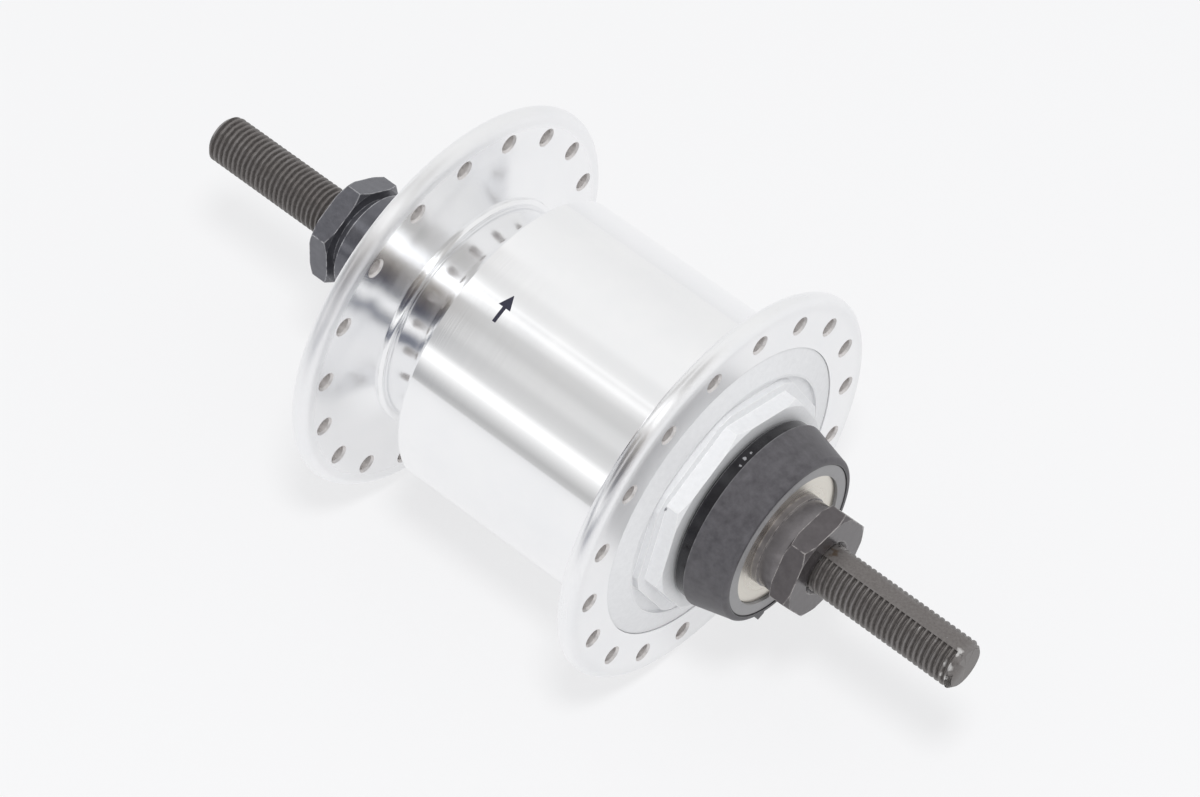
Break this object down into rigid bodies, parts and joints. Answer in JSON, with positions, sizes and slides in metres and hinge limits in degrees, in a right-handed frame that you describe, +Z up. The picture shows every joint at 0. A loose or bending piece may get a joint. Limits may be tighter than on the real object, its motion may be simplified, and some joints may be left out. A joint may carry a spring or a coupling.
{
  "type": "bicycle hub dynamo",
  "caption": "Front bicycle hub with a generator in its barrel: two spoke flanges, a threaded axle with locknuts, a screwed end cap and a plug connector at one end.",
  "frame": {"origin": "on the axle line, midway between the outer faces of the two locknuts", "axes": "+Y along the axle towards the end without the connector, +X forward, +Z up with the socket opening downwards"},
  "size_m": [0.0668, 0.148, 0.0668],
  "materials": {
    "polished_aluminium": "polished",
    "satin_aluminium": "satin",
    "bearing_steel": "ground",
    "ball_steel": "polished",
    "black_oxide_steel": "black oxide, worn on the edges",
    "plain_steel": "turned",
    "nickel_plate": "nickel plated",
    "black_plastic": "matte",
    "grey_plastic": "matte",
    "gloss_black": "glossy",
    "rubber": "matte",
    "brass": "tinned brass",
    "copper": "enamelled",
    "wire_insulation": "glossy",
    "bobbin_plastic": "matte",
    "ferrite": "ground",
    "retainer_steel": "pressed"
  },
  "bodies": {
    "axle_assembly": {"axle": "black_oxide_steel", "left_locknut": "black_oxide_steel", "right_locknut": "black_oxide_steel", "left_washer": "black_oxide_steel", "right_washer": "black_oxide_steel", "left_spacer": "black_oxide_steel", "right_spacer": "black_oxide_steel", "left_cone": "bearing_steel", "right_cone": "bearing_steel", "left_dust_shield": "black_plastic", "dust_ring": "gloss_black", "connector_body": "black_plastic", "connector_inset_ring": "grey_plastic", "contact_plate": "nickel_plate", "contact_blades": "brass", "lead_wires": "wire_insulation", "stator_core": "plain_steel", "coil_bobbin": "bobbin_plastic", "coil_winding": "copper", "left_claw_pole_stack": "plain_steel", "right_claw_pole_stack": "plain_steel", "stator_washer": "plain_steel", "stator_nut": "plain_steel"},
    "rotating_shell": {"hub_shell": "polished_aluminium", "end_cap": "satin_aluminium", "end_cap_gasket": "rubber", "left_dust_cap": "plain_steel", "right_seal": "rubber", "left_bearing_cup": "bearing_steel", "right_bearing_cup": "bearing_steel", "magnet_yoke_ring": "plain_steel", "ring_magnets": "ferrite"},
    "left_ball_set": {"left_bearing_balls": "ball_steel", "left_ball_retainer": "retainer_steel"},
    "right_ball_set": {"right_bearing_balls": "ball_steel", "right_ball_retainer": "retainer_steel"}
  },
  "joints": [
    {"name": "shell_spin", "type": "hinge", "parent": "axle_assembly", "child": "rotating_shell", "pos_m": [0, 0, 0], "axis": [0, 1, 0], "continuous": true},
    {"name": "left_balls_roll", "type": "hinge", "parent": "axle_assembly", "child": "left_ball_set", "pos_m": [0, 0.032, 0], "axis": [0, 1, 0], "continuous": true},
    {"name": "right_balls_roll", "type": "hinge", "parent": "axle_assembly", "child": "right_ball_set", "pos_m": [0, -0.0274, 0], "axis": [0, 1, 0], "continuous": true}
  ],
  "couplings": [
    {"joint": "left_balls_roll", "follows": "shell_spin", "ratio": 0.593},
    {"joint": "right_balls_roll", "follows": "shell_spin", "ratio": 0.593}
  ]
}
